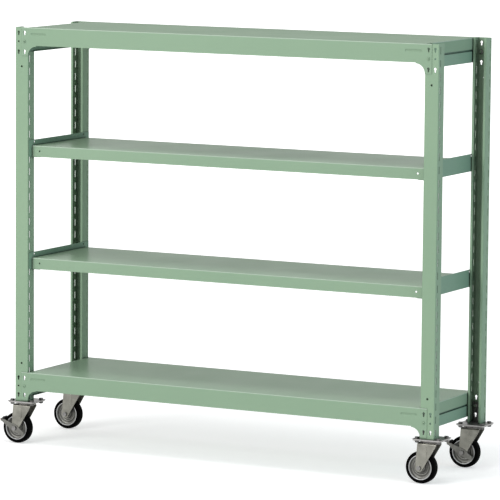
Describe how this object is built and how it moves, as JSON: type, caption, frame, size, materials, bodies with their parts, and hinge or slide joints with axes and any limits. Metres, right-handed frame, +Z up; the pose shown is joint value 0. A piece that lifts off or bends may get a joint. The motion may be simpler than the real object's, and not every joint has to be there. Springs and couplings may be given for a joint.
{
  "type": "mobile shelving",
  "caption": "Mobile steel shelving with slotted posts, fixed end shelves, hook-on middle shelves and swivel casters.",
  "frame": {"origin": "on the floor, under the middle of the whole footprint with the casters trailing to -X", "axes": "+X along the long side, to the right as seen from the front; +Y from the front to the rear; +Z up"},
  "size_m": [1.57, 0.402, 1.342],
  "materials": {
    "post_enamel": "semi-gloss",
    "shelf_enamel": "gloss",
    "rail_enamel": "semi-gloss",
    "stiffener_enamel": "semi-gloss",
    "zinc_fasteners": "zinc plated",
    "base_plate_zinc": "zinc plated",
    "caster_zinc": "zinc plated",
    "bearing_steel": "ground",
    "wheel_steel": "pressed and plated",
    "tyre_rubber": "matt",
    "bush_nylon": "moulded",
    "pedal_zinc": "zinc plated",
    "cap_rubber": "matt"
  },
  "bodies": {
    "frame": {"bottom_shelf": "shelf_enamel", "bottom_side_rail_left": "rail_enamel", "bottom_side_rail_right": "rail_enamel", "bottom_stiffener": "stiffener_enamel", "caster_base_front_left": "base_plate_zinc", "caster_base_front_right": "base_plate_zinc", "caster_base_rear_left": "base_plate_zinc", "caster_base_rear_right": "base_plate_zinc", "caster_bolts": "zinc_fasteners", "caster_nuts": "zinc_fasteners", "caster_plate_front_left": "caster_zinc", "caster_plate_front_right": "caster_zinc", "caster_plate_rear_left": "caster_zinc", "caster_plate_rear_right": "caster_zinc", "corner_bolts": "post_enamel", "corner_nuts": "zinc_fasteners", "kingpins": "bearing_steel", "lower_shelf": "shelf_enamel", "lower_side_rail_left": "rail_enamel", "lower_side_rail_right": "rail_enamel", "lower_stiffener": "stiffener_enamel", "post_front_left": "post_enamel", "post_front_right": "post_enamel", "post_rear_left": "post_enamel", "post_rear_right": "post_enamel", "swivel_balls": "bearing_steel", "top_shelf": "shelf_enamel", "top_side_rail_left": "rail_enamel", "top_side_rail_right": "rail_enamel", "top_stiffener": "stiffener_enamel", "upper_shelf": "shelf_enamel", "upper_side_rail_left": "rail_enamel", "upper_side_rail_right": "rail_enamel", "upper_stiffener": "stiffener_enamel"},
    "caster_front_left": {"fork_front_left": "caster_zinc", "bush_front_left": "bush_nylon", "axle_front_left": "zinc_fasteners"},
    "rolling_wheel_front_left": {"wheel_front_left": "wheel_steel", "tyre_front_left": "tyre_rubber"},
    "brake_front_left": {"brake_pedal_front_left": "pedal_zinc", "pedal_cap_front_left": "cap_rubber"},
    "caster_front_right": {"fork_front_right": "caster_zinc", "bush_front_right": "bush_nylon", "axle_front_right": "zinc_fasteners"},
    "rolling_wheel_front_right": {"wheel_front_right": "wheel_steel", "tyre_front_right": "tyre_rubber"},
    "caster_rear_left": {"fork_rear_left": "caster_zinc", "bush_rear_left": "bush_nylon", "axle_rear_left": "zinc_fasteners"},
    "rolling_wheel_rear_left": {"wheel_rear_left": "wheel_steel", "tyre_rear_left": "tyre_rubber"},
    "caster_rear_right": {"fork_rear_right": "caster_zinc", "bush_rear_right": "bush_nylon", "axle_rear_right": "zinc_fasteners"},
    "rolling_wheel_rear_right": {"wheel_rear_right": "wheel_steel", "tyre_rear_right": "tyre_rubber"},
    "brake_rear_right": {"brake_pedal_rear_right": "pedal_zinc", "pedal_cap_rear_right": "cap_rubber"}
  },
  "joints": [
    {"name": "swivel_front_left", "type": "hinge", "parent": "frame", "child": "caster_front_left", "pos_m": [-0.6975, -0.159, 0.1342], "axis": [0, 0, 1], "continuous": true},
    {"name": "wheel_spin_front_left", "type": "hinge", "parent": "caster_front_left", "child": "rolling_wheel_front_left", "pos_m": [-0.7295, -0.159, 0.05], "axis": [0, 1, 0], "continuous": true},
    {"name": "brake_press_front_left", "type": "hinge", "parent": "caster_front_left", "child": "brake_front_left", "pos_m": [-0.7295, -0.159, 0.05], "axis": [0, -1, 0], "range_deg": [0, 25]},
    {"name": "swivel_front_right", "type": "hinge", "parent": "frame", "child": "caster_front_right", "pos_m": [0.7375, -0.159, 0.1342], "axis": [0, 0, 1], "continuous": true},
    {"name": "wheel_spin_front_right", "type": "hinge", "parent": "caster_front_right", "child": "rolling_wheel_front_right", "pos_m": [0.7055, -0.159, 0.05], "axis": [0, 1, 0], "continuous": true},
    {"name": "swivel_rear_left", "type": "hinge", "parent": "frame", "child": "caster_rear_left", "pos_m": [-0.6975, 0.159, 0.1342], "axis": [0, 0, 1], "continuous": true},
    {"name": "wheel_spin_rear_left", "type": "hinge", "parent": "caster_rear_left", "child": "rolling_wheel_rear_left", "pos_m": [-0.7295, 0.159, 0.05], "axis": [0, 1, 0], "continuous": true},
    {"name": "swivel_rear_right", "type": "hinge", "parent": "frame", "child": "caster_rear_right", "pos_m": [0.7375, 0.159, 0.1342], "axis": [0, 0, 1], "continuous": true},
    {"name": "wheel_spin_rear_right", "type": "hinge", "parent": "caster_rear_right", "child": "rolling_wheel_rear_right", "pos_m": [0.7055, 0.159, 0.05], "axis": [0, 1, 0], "continuous": true},
    {"name": "brake_press_rear_right", "type": "hinge", "parent": "caster_rear_right", "child": "brake_rear_right", "pos_m": [0.7055, 0.159, 0.05], "axis": [0, -1, 0], "range_deg": [0, 25]}
  ]
}
